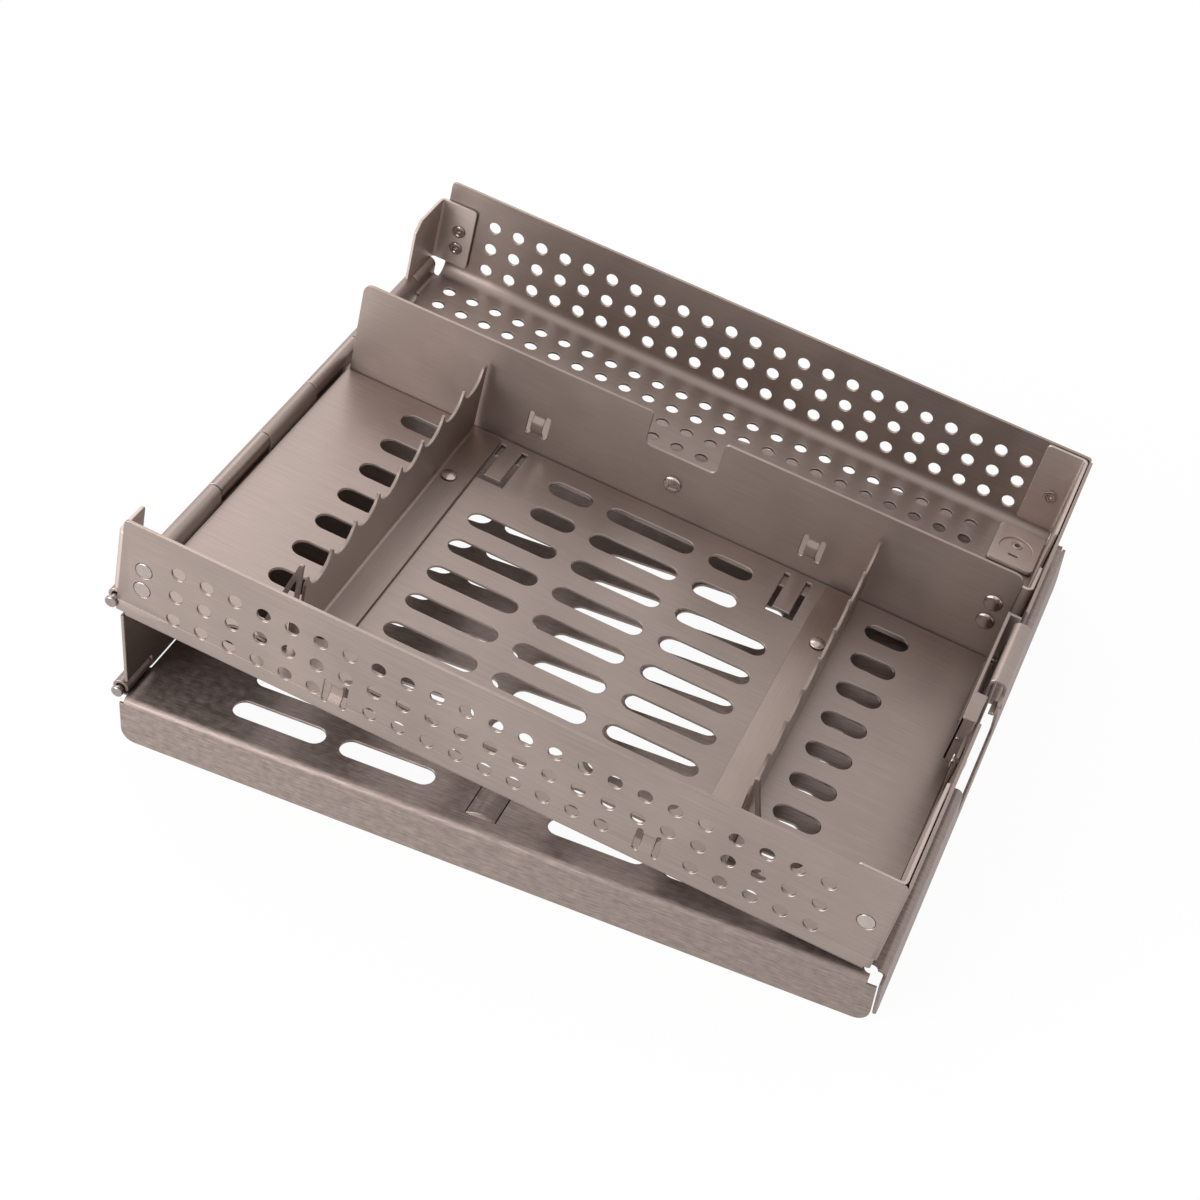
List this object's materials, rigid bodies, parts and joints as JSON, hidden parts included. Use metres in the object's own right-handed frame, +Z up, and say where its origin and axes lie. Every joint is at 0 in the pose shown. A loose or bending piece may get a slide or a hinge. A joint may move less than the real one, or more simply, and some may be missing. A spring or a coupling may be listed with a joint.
{
  "type": "instrument cassette",
  "caption": "Perforated steel instrument cassette standing open on its folded-back lid, with comb rails, a divider, a slotted floor and a sprung latch.",
  "frame": {"origin": "middle of the bounding box's bottom face, on the table under the folded-back lid", "axes": "+X from the hinges to the latch, +Y from the front wall to the back wall, +Z up from the table"},
  "size_m": [0.218, 0.19, 0.076],
  "materials": {
    "bracket_back_left": "satin brushed stainless steel",
    "bracket_back_right": "satin brushed stainless steel",
    "bracket_front_left": "satin brushed stainless steel",
    "bracket_front_right": "satin brushed stainless steel",
    "comb_left": "satin brushed stainless steel",
    "comb_right": "satin brushed stainless steel",
    "corner_pad": "satin brushed stainless steel",
    "divider_foot_bracket": "satin brushed stainless steel",
    "divider_side_bracket": "satin brushed stainless steel",
    "divider_wall": "satin brushed stainless steel",
    "insert_floor": "satin brushed stainless steel",
    "latch_housing": "satin brushed stainless steel",
    "latch_lever": "satin brushed stainless steel",
    "latch_pin": "satin brushed stainless steel",
    "latch_spring": "satin brushed stainless steel",
    "lid_hinge_pin": "satin brushed stainless steel",
    "lid_shell": "satin brushed stainless steel",
    "rivet_back_left_lower": "satin brushed stainless steel",
    "rivet_back_left_upper": "satin brushed stainless steel",
    "rivet_back_right": "satin brushed stainless steel",
    "rivet_comb_left_back": "satin brushed stainless steel",
    "rivet_comb_left_front": "satin brushed stainless steel",
    "rivet_comb_right_back": "satin brushed stainless steel",
    "rivet_comb_right_front": "satin brushed stainless steel",
    "rivet_divider_foot": "satin brushed stainless steel",
    "rivet_divider_right_lower": "satin brushed stainless steel",
    "rivet_divider_right_upper": "satin brushed stainless steel",
    "rivet_front_left_lower": "satin brushed stainless steel",
    "rivet_front_left_upper": "satin brushed stainless steel",
    "rivet_front_right": "satin brushed stainless steel",
    "rivet_latch_back": "satin brushed stainless steel",
    "rivet_latch_front": "satin brushed stainless steel",
    "spine_plate": "satin brushed stainless steel",
    "tray_hinge_pin": "satin brushed stainless steel",
    "tray_shell": "satin brushed stainless steel"
  },
  "bodies": {
    "lid": {"lid_shell": "lid_shell", "lid_hinge_pin": "lid_hinge_pin"},
    "spine": {"spine_plate": "spine_plate"},
    "tray": {"bracket_back_left": "bracket_back_left", "bracket_back_right": "bracket_back_right", "bracket_front_left": "bracket_front_left", "bracket_front_right": "bracket_front_right", "comb_left": "comb_left", "comb_right": "comb_right", "corner_pad": "corner_pad", "divider_foot_bracket": "divider_foot_bracket", "divider_side_bracket": "divider_side_bracket", "divider_wall": "divider_wall", "insert_floor": "insert_floor", "latch_housing": "latch_housing", "latch_pin": "latch_pin", "latch_spring": "latch_spring", "rivet_back_left_lower": "rivet_back_left_lower", "rivet_back_left_upper": "rivet_back_left_upper", "rivet_back_right": "rivet_back_right", "rivet_comb_left_back": "rivet_comb_left_back", "rivet_comb_left_front": "rivet_comb_left_front", "rivet_comb_right_back": "rivet_comb_right_back", "rivet_comb_right_front": "rivet_comb_right_front", "rivet_divider_foot": "rivet_divider_foot", "rivet_divider_right_lower": "rivet_divider_right_lower", "rivet_divider_right_upper": "rivet_divider_right_upper", "rivet_front_left_lower": "rivet_front_left_lower", "rivet_front_left_upper": "rivet_front_left_upper", "rivet_front_right": "rivet_front_right", "rivet_latch_back": "rivet_latch_back", "rivet_latch_front": "rivet_latch_front", "tray_hinge_pin": "tray_hinge_pin", "tray_shell": "tray_shell"},
    "latch": {"latch_lever": "latch_lever"}
  },
  "joints": [
    {"name": "lid_hinge", "type": "hinge", "parent": "lid", "child": "spine", "pos_m": [-0.10662, 0, 0.0164], "axis": [0, -1, 0], "range_deg": [0, 180]},
    {"name": "tray_hinge", "type": "hinge", "parent": "spine", "child": "tray", "pos_m": [-0.10662, 0, 0.0478], "axis": [0, -1, 0], "range_deg": [0, 187.71]},
    {"name": "latch_pivot", "type": "hinge", "parent": "tray", "child": "latch", "pos_m": [0.10042, -0.00375, 0.02966], "axis": [0, 1, 0], "range_deg": [0, 6], "stiffness_Nm_per_rad": 0.05, "springref_deg": -2.86}
  ]
}
